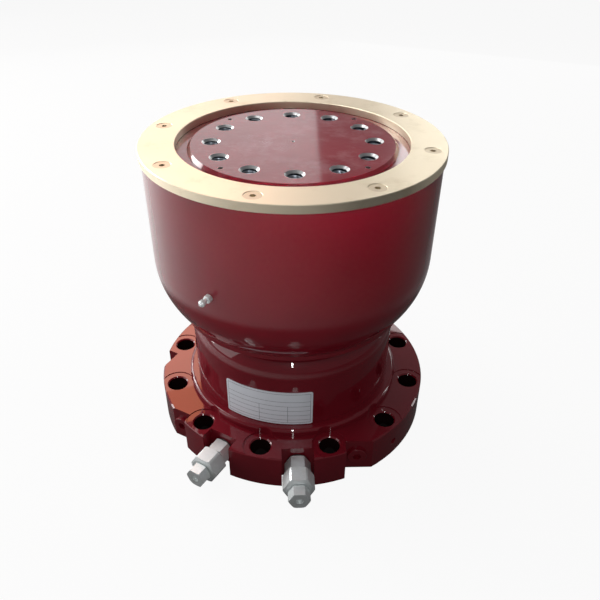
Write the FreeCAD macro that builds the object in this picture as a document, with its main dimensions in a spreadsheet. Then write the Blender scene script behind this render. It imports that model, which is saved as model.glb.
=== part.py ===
import FreeCAD, Part
import math
import os
from types import SimpleNamespace

import Sketcher
from FreeCAD import Placement, Rotation, Vector

# Hydraulic rotary actuator of the helical piston kind, standing on its bolted foot.
# Origin: centre of the foot's underside. +Z runs up the shaft to the output face.
# Lengths are millimetres and angles degrees. Azimuths count from +X towards +Y.

SIZES = {
    # Foot flange
    "foot_radius": 157.5,
    "foot_height": 41.4,
    "foot_edge": 1.5,
    "foot_bolt_margin": 16.0,
    "foot_bolt_bore": 22.0,
    "foot_bolt_count": 12,
    "foot_bolt_phase": 15.0,
    "foot_bolt_edge": 1.2,
    "spotface_bore": 38.0,
    "spotface_depth": 0.8,
    # Hub and neck above the foot
    "hub_radius": 124.5,
    "hub_rise": 8.2,
    "hub_round": 4.0,
    "land_radius": 115.0,
    "land_height": 61.4,
    "shoulder_round": 28.0,
    "neck_inset": 12.0,
    "waist_height": 97.4,
    "neck_fillet": 4.5,
    # Bowl
    "band_radius": 124.6,
    "band_height": 4.8,
    "bowl_radius": 147.75,
    "bowl_sweep_radius": 90.0,
    "body_height": 319.0,
    # Bores of the housing
    "bore_radius": 88.0,
    "relief_radius": 100.0,
    "relief_height": 12.0,
    "bowl_floor": 21.0,
    "cavity_radius": 108.0,
    "bearing_bore_radius": 128.0,
    "cover_recess_radius": 114.0,
    "cover_recess_depth": 12.0,
    # Ports in the foot and their oil ways
    "port_a_azimuth": 271.0,
    "port_b_azimuth": 237.2,
    "notch_depth": 15.5,
    "notch_width": 34.0,
    "notch_overrun": 5.0,
    "port_thread_radius": 8.3,
    "port_thread_depth": 14.0,
    "drill_radius": 4.5,
    "channel_radius": 3.5,
    "channel_circle_radius": 96.0,
    # Pockets in the foot's rim with a plugged gallery port each
    "pocket_width": 60.0,
    "near_azimuth": 270.0,
    "near_depth": 24.5,
    "near_side": 53.6,
    "near_shift": 67.0,
    "left_azimuth": 240.0,
    "left_depth": 21.5,
    "left_side": 55.0,
    "left_shift": 67.0,
    "back_azimuth": 150.0,
    "back_depth": 24.5,
    "back_side": 57.0,
    "back_shift": 70.0,
    # Grub screw in the foot's rim, beside one foot bolt
    "rim_screw_azimuth": 314.4,
    "rim_screw_height": 18.4,
    "rim_screw_radius": 4.2,
    "rim_screw_length": 3.6,
    "rim_screw_inset": 1.0,
    "rim_screw_socket": 4.0,
    "rim_screw_socket_depth": 2.0,
    "rim_screw_bore_depth": 8.0,
    # Wear ring on the bowl's rim and its countersunk screws
    "ring_inner_radius": 114.8,
    "ring_outer_radius": 150.0,
    "ring_thickness": 7.8,
    "ring_edge": 0.6,
    "ring_screw_circle": 271.0,
    "ring_screw_count": 8,
    "ring_screw_phase": 30.0,
    "ring_screw_radius": 4.0,
    "ring_screw_head_radius": 8.0,
    "ring_screw_inset": 0.4,
    "ring_screw_length": 23.0,
    "ring_screw_socket": 5.0,
    "ring_screw_socket_depth": 3.0,
    "ring_screw_play": 0.4,
    "ring_hole_spare": 8.4,
    # Output flange
    "output_inset": 3.9,
    "output_disc_radius": 103.6,
    "output_disc_edge": 3.2,
    "shoulder_radius": 124.5,
    "shoulder_thickness": 29.6,
    "shoulder_gap": 0.4,
    "output_bolt_circle": 160.5,
    "output_bolt_radius": 7.0,
    "output_bolt_chamfer": 9.25,
    "output_bolt_depth": 24.0,
    "output_bolt_point": 4.2,
    "output_bolt_count": 12,
    "dowel_circle": 187.0,
    "dowel_radius": 2.4,
    "dowel_depth": 12.0,
    "dowel_count": 4,
    "dowel_phase": 45.0,
    "centre_radius": 1.2,
    "centre_chamfer": 1.8,
    "centre_depth": 5.0,
    # Shaft below the flange
    "journal_radius": 52.5,
    "flange_fillet": 5.0,
    "lower_journal_radius": 44.0,
    "thread_radius": 40.0,
    "shaft_bottom": 1.6,
    "thread_edge": 1.5,
    # Helical teeth: shaft and sleeve bore mesh left-handed, sleeve and ring gear right-handed
    "inner_teeth": 6,
    "inner_root_radius": 54.0,
    "inner_tip_radius": 60.0,
    "inner_lead": 340.0,
    "outer_teeth": 8,
    "outer_root_radius": 74.0,
    "outer_tip_radius": 80.0,
    "outer_lead": 382.5,
    "tooth_root_share": 0.29,
    "tooth_tip_share": 0.19,
    "tooth_flank_clearance": 0.45,
    "tooth_tip_clearance": 0.8,
    "shaft_teeth_length": 120.0,
    "teeth_end_gap": 2.0,
    # Piston sleeve
    "piston_stroke": 90.0,
    "piston_end_gap": 3.0,
    "head_radius": 87.7,
    "head_height": 28.0,
    "head_edge": 1.5,
    "sleeve_top_gap": 6.0,
    "sleeve_bore_radius": 61.5,
    "sleeve_radius": 73.0,
    "sleeve_neck": 20.0,
    "sleeve_bore_teeth_length": 60.0,
    "band_bottom": 3.2,
    "band_groove_width": 10.2,
    "band_groove_depth": 4.3,
    "seal_bottom": 16.0,
    "seal_groove_width": 8.2,
    "seal_groove_depth": 6.1,
    "inner_seal_bottom": 12.0,
    "inner_seal_width": 7.0,
    "inner_seal_depth": 5.0,
    # Ring gear, its dowel pins and its lock ring
    "gear_length": 54.0,
    "gear_pin_radius": 4.0,
    "gear_pin_length": 26.0,
    "gear_pin_count": 6,
    "gear_pin_phase": 30.0,
    "lock_ring_height": 10.0,
    "lock_ring_bore_radius": 86.0,
    "spanner_circle_radius": 97.0,
    "spanner_hole_radius": 3.5,
    "spanner_hole_depth": 5.0,
    "spanner_hole_count": 4,
    # Upper bearing and seal
    "thrust_washer_thickness": 5.5,
    "thrust_washer_bore_radius": 110.0,
    "upper_bush_gap": 1.3,
    "upper_bush_height": 21.0,
    "upper_seal_gap": 1.5,
    "upper_seal_height": 5.5,
    "seal_lip_depth": 1.5,
    # End cover, lower bearing and shaft nut
    "cover_inset": 0.6,
    "cover_edge_gap": 0.3,
    "spigot_radius": 78.0,
    "spigot_height": 15.0,
    "nut_recess_radius": 60.0,
    "nut_recess_top": 13.0,
    "bush_seat_radius": 48.0,
    "lower_bush_height": 8.0,
    "lower_seal_gap": 0.3,
    "lower_seal_height": 5.2,
    "lower_washer_thickness": 2.4,
    "lower_washer_radius": 58.0,
    "nut_radius": 57.0,
    "nut_height": 8.3,
    "nut_edge": 1.0,
    "nut_slot_width": 8.0,
    "nut_slot_depth": 4.0,
    "nut_slot_count": 4,
    "lock_screw_radius": 2.5,
    "lock_screw_length": 8.0,
    "lock_screw_socket": 2.5,
    "lock_screw_socket_depth": 3.0,
    "lock_screw_inset": 0.2,
    "oring_circle_radius": 93.5,
    "oring_radius": 1.4,
    "oring_groove_width": 4.6,
    "cover_screw_circle": 210.0,
    "cover_screw_count": 12,
    "cover_screw_phase": 15.0,
    "cover_screw_radius": 4.0,
    "cover_screw_head_radius": 6.5,
    "cover_screw_head_height": 5.0,
    "cover_screw_inset": 0.5,
    "cover_screw_length": 25.0,
    "cover_screw_socket": 5.0,
    "cover_screw_socket_depth": 2.6,
    "cover_screw_play": 0.5,
    "cover_screw_head_play": 1.0,
    "cover_hole_spare": 4.0,
    # Port fittings: bonded seal, adapter, nut and blanking cap
    "bonded_seal_radius": 12.0,
    "bonded_seal_thickness": 2.0,
    "adapter_hex": 24.0,
    "adapter_hex_length": 15.0,
    "adapter_bore_radius": 4.0,
    "adapter_cone_radius": 9.5,
    "adapter_cone_length": 11.0,
    "fitting_nut_hex": 30.0,
    "fitting_nut_radius": 16.7,
    "fitting_nut_gap": 1.0,
    "fitting_nut_length": 20.0,
    "fitting_nut_bevel": 3.6,
    "cap_stem_radius": 7.0,
    "cap_hex": 20.0,
    "cap_hex_length": 12.0,
    "cap_dimple_radius": 4.0,
    "cap_dimple_depth": 3.0,
    "hex_bevel": 1.2,
    # Gallery plugs
    "gallery_plug_length": 13.0,
    "gallery_plug_collar_radius": 10.5,
    "gallery_plug_collar": 3.6,
    "gallery_plug_socket": 8.0,
    "gallery_plug_socket_depth": 6.0,
    # Grease nipple and its oil way to the thrust washer
    "nipple_azimuth": 238.2,
    "nipple_height": 223.6,
    "nipple_thread_radius": 3.0,
    "nipple_thread_length": 8.0,
    "nipple_hex": 7.0,
    "nipple_hex_length": 4.5,
    "nipple_neck_radius": 2.2,
    "nipple_ball_radius": 3.25,
    "nipple_neck_length": 3.4,
    "nipple_cone_length": 1.4,
    "nipple_ball_length": 2.6,
    "nipple_nose_length": 1.8,
    "nipple_nose_radius": 1.6,
    "nipple_bore_spare": 1.0,
    "grease_way_radius": 2.5,
    "grease_way_circle_radius": 118.0,
    # Nameplate
    "plate_azimuth": 255.4,
    "plate_angle": 48.3,
    "plate_thickness": 0.8,
    "plate_glue": 0.2,
    "plate_height": 45.0,
    "plate_lift": 1.0,
    "plate_corner": 2.0,
    # Clearances that several fits share
    "running_clearance": 0.06,
    "seal_clearance": 0.1,
    "moving_gap": 0.3,
}

TWIST_STEP = 9.0      # degrees of twist that one strip of a helical flank covers
HEX_CORNERS = 6
DOC = FreeCAD.newDocument("rotary_actuator")


class Size:
    """A dimension: its value now, and the spreadsheet expression that it follows."""

    def __init__(self, value, text):
        self.value = value
        self.text = text

    def __add__(self, other):
        other = as_size(other)
        return Size(self.value + other.value, f"({self.text} + {other.text})")

    def __sub__(self, other):
        other = as_size(other)
        return Size(self.value - other.value, f"({self.text} - {other.text})")

    def __mul__(self, other):
        other = as_size(other)
        return Size(self.value * other.value, f"({self.text} * {other.text})")

    def __truediv__(self, other):
        other = as_size(other)
        return Size(self.value / other.value, f"({self.text} / {other.text})")


def as_size(value):
    """Take a plain number as a size without a name."""
    return value if isinstance(value, Size) else Size(float(value), repr(float(value)))


def square_root(size):
    return Size(math.sqrt(size.value), f"sqrt({size.text})")


def cosine(angle):
    return Size(math.cos(math.radians(angle.value)), f"cos({angle.text} * 1 deg)")


def sine(angle):
    return Size(math.sin(math.radians(angle.value)), f"sin({angle.text} * 1 deg)")


def fill_sheet():
    """Write the driving dimensions into the spreadsheet and return them by name."""
    sheet = DOC.addObject("Spreadsheet::Sheet", "Sizes")
    for row, (name, value) in enumerate(SIZES.items(), 1):
        sheet.set(f"A{row}", name)
        sheet.set(f"B{row}", str(value))
        sheet.setAlias(f"B{row}", name)
    DOC.recompute()
    return SimpleNamespace(**{name: Size(value, f"Sizes.{name}") for name, value in SIZES.items()})


S = fill_sheet()
ZERO = as_size(0)

# Distances in the foot, in from its rim
S.foot_bolt_reach = S.foot_radius - S.foot_bolt_margin
S.notch_seat = S.foot_radius - S.notch_depth
S.near_seat = S.foot_radius - S.near_depth
S.left_seat = S.foot_radius - S.left_depth
S.back_seat = S.foot_radius - S.back_depth

# Heights of the housing, from the foot up
S.hub_top = S.foot_height + S.hub_rise
S.land_top = S.hub_top + S.land_height
S.neck_radius = S.land_radius - S.neck_inset
S.neck_bottom = S.land_top + square_root(S.neck_inset * (S.shoulder_round * 2 - S.neck_inset))
S.underside = S.hub_top + S.waist_height
S.band_top = S.underside + S.band_height
SWEEP_ACROSS = S.bowl_sweep_radius - (S.bowl_radius - S.band_radius)
SWEEP_SQUARE = S.bowl_sweep_radius * S.bowl_sweep_radius - SWEEP_ACROSS * SWEEP_ACROSS
S.wall_bottom = S.band_top + square_root(SWEEP_SQUARE)
S.rim_top = S.body_height
S.ring_top = S.rim_top + S.ring_thickness

# Heights of the output flange and what carries it
S.output_top = S.ring_top - S.output_inset
S.shoulder_top = S.rim_top - S.shoulder_gap
S.shoulder_bottom = S.shoulder_top - S.shoulder_thickness
S.washer_top = S.shoulder_bottom - S.moving_gap
S.ledge = S.washer_top - S.thrust_washer_thickness
S.upper_bush_bottom = S.washer_top + S.upper_bush_gap
S.upper_bush_top = S.upper_bush_bottom + S.upper_bush_height
S.upper_seal_bottom = S.upper_bush_top + S.upper_seal_gap
S.upper_seal_top = S.upper_seal_bottom + S.upper_seal_height

# Heights of the ring gear
S.gear_seat = S.underside + S.bowl_floor
S.relief_bottom = S.gear_seat - S.relief_height
S.gear_top = S.gear_seat + S.gear_length

# Heights of the end cover, the piston at mid stroke and the shaft's teeth
S.spigot_top = S.cover_recess_depth + S.spigot_height
S.piston_bottom = S.spigot_top + S.piston_end_gap + S.piston_stroke / 2
S.head_top = S.piston_bottom + S.head_height
S.sleeve_top = S.shoulder_bottom - S.sleeve_top_gap - S.piston_stroke / 2
S.teeth_bottom = S.head_top + S.piston_stroke / 2 + S.teeth_end_gap
S.teeth_top = S.teeth_bottom + S.shaft_teeth_length
S.lower_journal_top = S.spigot_top + S.teeth_end_gap / 2
S.washer_bottom = S.nut_recess_top - S.lower_washer_thickness
S.nut_top = S.washer_bottom - S.moving_gap
S.nut_bottom = S.nut_top - S.nut_height

# Radii of pieces that run in or on another
S.head_bore_radius = S.journal_radius + S.running_clearance
S.band_outer_radius = S.bore_radius - S.running_clearance
S.port_height = S.foot_height / 2

# Ends of fasteners
S.ring_screw_end = S.ring_top - S.ring_screw_inset - S.ring_screw_length
S.gear_pin_bottom = S.gear_top - S.gear_pin_length
S.cover_screw_head = S.cover_inset + S.cover_screw_inset
S.cover_screw_seat = S.cover_screw_head + S.cover_screw_head_height
S.cover_screw_end = S.cover_screw_head + S.cover_screw_length

# Plugged pockets of the foot: the direction that each faces, its back wall, its side wall,
# how far its plug lies to the side, and whether that side is left (+1) or right (-1) of the direction
GALLERIES = (
    ("near", S.near_azimuth, S.near_seat, S.near_side, S.near_shift, 1),
    ("left", S.left_azimuth, S.left_seat, S.left_side, S.left_shift, -1),
    ("back", S.back_azimuth, S.back_seat, S.back_side, S.back_shift, 1),
)


def new_body(label):
    """Start a body that may hold several separate solids of one kind."""
    body = DOC.addObject("PartDesign::Body", label)
    body.Label = label
    body.AllowCompound = True
    return body


def origin_feature(body, role):
    return next(item for item in body.Origin.OriginFeatures if item.Role == role)


def bind(thing, name, size):
    thing.setExpression(name, size.text)


def sketch_on(body, name, plane, lift=ZERO, azimuth=ZERO, reach=ZERO, shift=ZERO):
    """Put an empty sketch on one of the body's own planes, raised along its normal and turned in it.

    Reach and shift move its origin along its turned axes.
    """
    sketch = body.newObject("Sketcher::SketchObject", name)
    sketch.AttachmentSupport = [(origin_feature(body, plane), "")]
    sketch.MapMode = "FlatFace"
    sketch.AttachmentOffset = Placement(Vector(), Rotation(Vector(0, 0, 1), azimuth.value))
    bind(sketch, "AttachmentOffset.Base.x", reach * cosine(azimuth) - shift * sine(azimuth))
    bind(sketch, "AttachmentOffset.Base.y", reach * sine(azimuth) + shift * cosine(azimuth))
    bind(sketch, "AttachmentOffset.Base.z", lift)
    return sketch


def axis_sketch(body, name, radius, azimuth=ZERO):
    """Put an upright sketch whose own vertical axis stands at a radius and azimuth from the shaft's."""
    sketch = body.newObject("Sketcher::SketchObject", name)
    sketch.AttachmentSupport = [(origin_feature(body, "XZ_Plane"), "")]
    sketch.MapMode = "FlatFace"
    sketch.AttachmentOffset = Placement(Vector(), Rotation(Vector(0, 1, 0), azimuth.value))
    bind(sketch, "AttachmentOffset.Base.x", radius * cosine(azimuth))
    bind(sketch, "AttachmentOffset.Base.z", ZERO - radius * sine(azimuth))
    return sketch


def arc_between(start, end, radius, turn):
    """The shorter arc of a radius from start to end, turning left (+1) or right (-1)."""
    chord = end - start
    rise = math.sqrt(max(0.0, radius**2 - (chord.Length / 2) ** 2))
    left = Vector(-chord.y, chord.x, 0).normalize()
    centre = (start + end) * 0.5 + left * rise * turn
    angles = [math.atan2(point.y - centre.y, point.x - centre.x) for point in (start, end)]
    if turn < 0:
        angles.reverse()
    return Part.ArcOfCircle(Part.Circle(centre, Vector(0, 0, 1), radius), *angles)


def bind_point(sketch, geometry, point, across, up):
    """Tie a point of the sketch to its two coordinates."""
    for size, kind, axis in ((across, "DistanceX", -2), (up, "DistanceY", -1)):
        if abs(size.value) < 1e-9:
            sketch.addConstraint(Sketcher.Constraint("PointOnObject", geometry, point, axis))
        else:
            rule = sketch.addConstraint(Sketcher.Constraint(kind, -1, 1, geometry, point, size.value))
            bind(sketch, f"Constraints[{rule}]", size)


def outline(sketch, corners):
    """Draw a closed outline. A corner (across, up, radius, turn) is followed by an arc, not a line."""
    corners = [tuple(as_size(size) for size in corner) for corner in corners]
    sides = []
    for corner, following in zip(corners, corners[1:] + corners[:1]):
        start = Vector(corner[0].value, corner[1].value, 0)
        end = Vector(following[0].value, following[1].value, 0)
        if len(corner) == 2:
            sides.append((sketch.addGeometry(Part.LineSegment(start, end), False), 1, 2))
            continue
        radius, turn = corner[2], corner[3].value
        arc = sketch.addGeometry(arc_between(start, end, radius.value, turn), False)
        rule = sketch.addConstraint(Sketcher.Constraint("Radius", arc, radius.value))
        bind(sketch, f"Constraints[{rule}]", radius)
        sides.append((arc, 1, 2) if turn > 0 else (arc, 2, 1))
    for (geometry, _, end), (following, start, _) in zip(sides, sides[1:] + sides[:1]):
        sketch.addConstraint(Sketcher.Constraint("Coincident", geometry, end, following, start))
    for (geometry, start, _), corner in zip(sides, corners):
        bind_point(sketch, geometry, start, corner[0], corner[1])


def circle(sketch, radius, across=ZERO, up=ZERO):
    """Draw a circle about a point of the sketch."""
    centre = Vector(across.value, up.value, 0)
    ring = sketch.addGeometry(Part.Circle(centre, Vector(0, 0, 1), radius.value), False)
    rule = sketch.addConstraint(Sketcher.Constraint("Radius", ring, radius.value))
    bind(sketch, f"Constraints[{rule}]", radius)
    bind_point(sketch, ring, 3, across, up)


def hexagon(sketch, across_flats):
    """Draw a hexagon round the sketch's origin."""
    corner = across_flats / math.sqrt(3)
    angles = [as_size(360.0 * side / HEX_CORNERS) for side in range(HEX_CORNERS)]
    outline(sketch, [(corner * cosine(angle), corner * sine(angle)) for angle in angles])


def rectangle(sketch, left, bottom, right, top):
    outline(sketch, [(left, bottom), (right, bottom), (right, top), (left, top)])


def turn(body, sketch, axis="V_Axis"):
    """Revolve a sketch about one of its own axes into a solid."""
    feature = body.newObject("PartDesign::Revolution", sketch.Name + "_turn")
    feature.Profile = sketch
    feature.ReferenceAxis = (sketch, [axis])
    feature.Angle = 360
    return feature


def pad(body, sketch, length):
    feature = body.newObject("PartDesign::Pad", sketch.Name + "_pad")
    feature.Profile = sketch
    bind(feature, "Length", length)
    return feature


def cut_checked(body, feature):
    """Recompute, and make sure that the feature took material away."""
    before = feature.BaseFeature.Shape.Volume
    DOC.recompute()
    if not feature.Shape.Volume < before:
        raise RuntimeError(f"{feature.Name} in {body.Label} cuts nothing")
    return feature


def groove(body, sketch, axis="V_Axis"):
    """Cut away what a sketch sweeps about one of its own axes."""
    feature = body.newObject("PartDesign::Groove", sketch.Name + "_groove")
    feature.Profile = sketch
    feature.ReferenceAxis = (sketch, [axis])
    feature.Angle = 360
    return cut_checked(body, feature)


def pocket(body, sketch, depth=None, upward=False):
    """Cut a sketch down from its plane, or up, to a depth or right through."""
    feature = body.newObject("PartDesign::Pocket", sketch.Name + "_pocket")
    feature.Profile = sketch
    feature.Reversed = upward
    if depth is None:
        feature.Type = "ThroughAll"
    else:
        bind(feature, "Length", depth)
    return cut_checked(body, feature)


def repeat(body, features, count):
    """Repeat features together, evenly round the body's vertical axis."""
    pattern = body.newObject("PartDesign::PolarPattern", features[0].Name + "_ring")
    pattern.Originals = features
    pattern.Axis = (origin_feature(body, "Z_Axis"), [""])
    pattern.Angle = 360
    bind(pattern, "Occurrences", count)
    body.Tip = pattern
    DOC.recompute()
    return pattern


def turned(label, corners):
    """A body turned about the vertical axis from one outline of (radius, height) corners."""
    body = new_body(label)
    sketch = sketch_on(body, label + "_outline", "XZ_Plane")
    outline(sketch, corners)
    turn(body, sketch)
    DOC.recompute()
    return body


def ring(label, inner, outer, bottom, top):
    """A plain ring of square section."""
    return turned(label, [(inner, bottom), (outer, bottom), (outer, top), (inner, top)])


def sideways(label, corners, azimuth, height, shift=ZERO):
    """A body turned about a level axis that points out at an azimuth. Corners are (distance, radius)."""
    body = new_body(label)
    sketch = sketch_on(body, label + "_outline", "XY_Plane")
    outline(sketch, corners)
    turn(body, sketch, "H_Axis")
    facing = Rotation(Vector(0, 0, 1), azimuth.value)
    body.Placement = Placement(facing.multVec(Vector(0, shift.value, 0)), facing)
    bind(body, "Placement.Base.z", height)
    DOC.recompute()
    return body


def hex_blank(start, end, across_flats, bevel):
    """Outline corners of a turned blank with bevelled ends for a hexagon on a level axis."""
    corner = across_flats / math.sqrt(3)
    return [
        (start, corner - bevel),
        (start + bevel / 2, corner),
        (end - bevel / 2, corner),
        (end, corner - bevel),
    ]


def flats(body, across_flats, start, end):
    """Mill a hexagon along the level axis of a turned body, between two distances."""
    sketch = sketch_on(body, body.Name + "_flats", "YZ_Plane", lift=end)
    hexagon(sketch, across_flats)
    circle(sketch, across_flats)
    pocket(body, sketch, end - start)


def level_socket(body, across_flats, end, depth):
    """Sink a hexagon socket into the outer end of a body turned about a level axis."""
    sketch = sketch_on(body, body.Name + "_socket", "YZ_Plane", lift=end)
    hexagon(sketch, across_flats)
    pocket(body, sketch, depth)


def drill_level(body, name, azimuth, height, corners, shift=ZERO):
    """Cut a turned hole whose level axis points out at an azimuth. Corners are (distance, radius)."""
    sketch = sketch_on(body, name, "XY_Plane", lift=height, azimuth=azimuth, shift=shift)
    outline(sketch, corners)
    return groove(body, sketch, "H_Axis")


def drill_ring(body, name, circle_size, count, phase, corners):
    """Cut a ring of upright turned holes. Corners are (radius, height)."""
    sketch = axis_sketch(body, name, circle_size / 2, phase)
    outline(sketch, corners)
    return repeat(body, [groove(body, sketch)], count)


def pins(label, circle_size, count, phase, corners, socket=None):
    """Identical upright fasteners in a ring. The socket is (across flats, height, depth, upward)."""
    body = new_body(label)
    sketch = axis_sketch(body, label + "_outline", circle_size / 2)
    outline(sketch, corners)
    features = [turn(body, sketch)]
    DOC.recompute()
    if socket:
        across_flats, height, depth, upward = socket
        opening = sketch_on(body, label + "_socket", "XY_Plane", lift=height, reach=circle_size / 2)
        hexagon(opening, across_flats)
        features.append(pocket(body, opening, depth, upward))
    repeat(body, features, count)
    body.Placement = Placement(Vector(), Rotation(Vector(0, 0, 1), phase.value))
    DOC.recompute()
    return body


def boolean(kind, label, base, tool):
    """A cut or fuse of two objects."""
    result = DOC.addObject(kind, label)
    result.Label = label
    result.Base = base
    result.Tool = tool
    DOC.recompute()
    return result


def group(label, bodies):
    """Several bodies of one kind as one node."""
    result = DOC.addObject("Part::Compound", label)
    result.Label = label
    result.Links = bodies
    DOC.recompute()
    return result


def whole(label, shape):
    """A shape that no feature makes, as an object of its own."""
    result = DOC.addObject("Part::Feature", label)
    result.Label = label
    result.Shape = shape
    return result


def tooth_ring(teeth, low, high, clearance, angle, height):
    """Corners of a toothed outline at one height. Clearances widen it for the part it meshes with."""
    flank, tip = clearance
    pitch = 360.0 / teeth
    root_share, tip_share = SIZES["tooth_root_share"], SIZES["tooth_tip_share"]
    half = {}
    for radius in (low + tip, high + tip):
        share = root_share + (tip_share - root_share) * (radius - low) / (high - low)
        half[radius] = pitch * share + math.degrees(flank / radius)
    root, crest = low + tip, high + tip
    profile = (
        (root, -half[root]),
        (crest, -half[crest]),
        (crest, 0.0),
        (crest, half[crest]),
        (root, half[root]),
        (root, pitch / 2),
    )
    points = []
    for tooth in range(teeth):
        for radius, turned_by in profile:
            at = math.radians(angle + pitch * tooth + turned_by)
            points.append(Vector(radius * math.cos(at), radius * math.sin(at), height))
    return points


def helical_solid(teeth, low, high, lead, bottom, top, clearance=(0.0, 0.0)):
    """A helically toothed bar with flat triangular facets, so that two meshing bars never overlap.

    Every bar takes its angle from the height alone, so bars of one lead mesh wherever they start.
    A bar without clearance keeps its facets inside the true helix, and one with clearance outside.
    """
    strips = math.ceil(360.0 * (top - bottom) / abs(lead) / TWIST_STEP)
    heights = [bottom + (top - bottom) * strip / strips for strip in range(strips + 1)]
    levels = [tooth_ring(teeth, low, high, clearance, 360.0 * height / lead, height) for height in heights]
    outside = any(clearance)
    faces = [Part.Face(Part.makePolygon(level + level[:1])) for level in (levels[0], levels[-1])]
    for lower, upper in zip(levels, levels[1:]):
        count = len(lower)
        for index in range(count):
            after = (index + 1) % count
            square = (lower[index], lower[after], upper[after], upper[index])
            rising, falling = square[0] + square[2], square[1] + square[3]
            ridge = math.hypot(rising.x, rising.y) > math.hypot(falling.x, falling.y)
            halves = ((0, 1, 2), (0, 2, 3)) if ridge == outside else ((0, 1, 3), (1, 2, 3))
            for half in halves:
                triangle = [square[corner] for corner in half]
                faces.append(Part.Face(Part.makePolygon(triangle + triangle[:1])))
    shell = Part.makeShell(faces)
    shell.sewShape()
    solid = Part.makeSolid(shell)
    if solid.Volume < 0:
        solid.reverse()
    return solid


def inner_teeth(bottom, top, clearance=(0.0, 0.0)):
    """Left-handed teeth of the shaft, or with clearance the hole in the sleeve for them."""
    low, high = SIZES["inner_root_radius"], SIZES["inner_tip_radius"]
    return helical_solid(SIZES["inner_teeth"], low, high, -SIZES["inner_lead"], bottom, top, clearance)


def outer_teeth(bottom, top, clearance=(0.0, 0.0)):
    """Right-handed teeth of the sleeve, or with clearance the hole in the ring gear for them."""
    low, high = SIZES["outer_root_radius"], SIZES["outer_tip_radius"]
    return helical_solid(SIZES["outer_teeth"], low, high, SIZES["outer_lead"], bottom, top, clearance)


TOOTH_CLEARANCE = (SIZES["tooth_flank_clearance"], SIZES["tooth_tip_clearance"])


def housing_blank():
    """The cast and turned housing before its holes, pockets and notches."""
    return turned(
        "housing",
        [
            (S.cover_recess_radius, ZERO),
            (S.foot_radius, ZERO),
            (S.foot_radius, S.foot_height - S.foot_edge),
            (S.foot_radius - S.foot_edge, S.foot_height),
            (S.hub_radius, S.foot_height),
            (S.hub_radius, S.hub_top - S.hub_round, S.hub_round, 1),
            (S.hub_radius - S.hub_round, S.hub_top),
            (S.land_radius, S.hub_top),
            (S.land_radius, S.land_top, S.shoulder_round, 1),
            (S.neck_radius, S.neck_bottom),
            (S.neck_radius, S.underside - S.neck_fillet, S.neck_fillet, -1),
            (S.neck_radius + S.neck_fillet, S.underside),
            (S.band_radius, S.underside),
            (S.band_radius, S.band_top, S.bowl_sweep_radius, 1),
            (S.bowl_radius, S.wall_bottom),
            (S.bowl_radius, S.rim_top),
            (S.bearing_bore_radius, S.rim_top),
            (S.bearing_bore_radius, S.ledge),
            (S.cavity_radius, S.ledge),
            (S.cavity_radius, S.gear_seat),
            (S.relief_radius, S.gear_seat),
            (S.relief_radius, S.relief_bottom),
            (S.bore_radius, S.relief_bottom),
            (S.bore_radius, S.cover_recess_depth),
            (S.cover_recess_radius, S.cover_recess_depth),
        ],
    )


def cut_foot(body):
    """Bolt holes with spotfaces, port notches and plug pockets of the foot."""
    spotface = sketch_on(body, "spotface", "XY_Plane", S.hub_top, S.foot_bolt_phase, S.foot_bolt_reach)
    circle(spotface, S.spotface_bore / 2)
    spotface = pocket(body, spotface, S.hub_rise + S.spotface_depth)
    bolt = axis_sketch(body, "foot_bolt", S.foot_bolt_reach, S.foot_bolt_phase)
    seat = S.foot_height - S.spotface_depth
    radius = S.foot_bolt_bore / 2
    outline(
        bolt,
        [
            (ZERO, ZERO),
            (radius, ZERO),
            (radius, seat - S.foot_bolt_edge),
            (radius + S.foot_bolt_edge, seat),
            (ZERO, seat),
        ],
    )
    repeat(body, [spotface, groove(body, bolt)], S.foot_bolt_count)
    rim = S.foot_radius + S.notch_overrun
    half = S.notch_width / 2
    for name, azimuth in (("notch_a", S.port_a_azimuth), ("notch_b", S.port_b_azimuth)):
        notch = sketch_on(body, name, "XY_Plane", S.foot_height, azimuth)
        rectangle(notch, S.notch_seat, ZERO - half, rim, half)
        pocket(body, notch)
    for name, azimuth, seat, wall, _, side in GALLERIES:
        opening = sketch_on(body, "pocket_" + name, "XY_Plane", S.foot_height, azimuth)
        far = wall + S.pocket_width
        low, high = (wall, far) if side > 0 else (ZERO - far, ZERO - wall)
        rectangle(opening, seat, low, rim, high)
        pocket(body, opening)


def port_hole(seat, end):
    """Outline of a threaded port from its seat inwards, with the drilling behind it."""
    thread_end = seat - S.port_thread_depth
    return [
        (end, ZERO),
        (seat, ZERO),
        (seat, S.port_thread_radius),
        (thread_end, S.port_thread_radius),
        (thread_end, S.drill_radius),
        (end, S.drill_radius),
    ]


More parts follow.
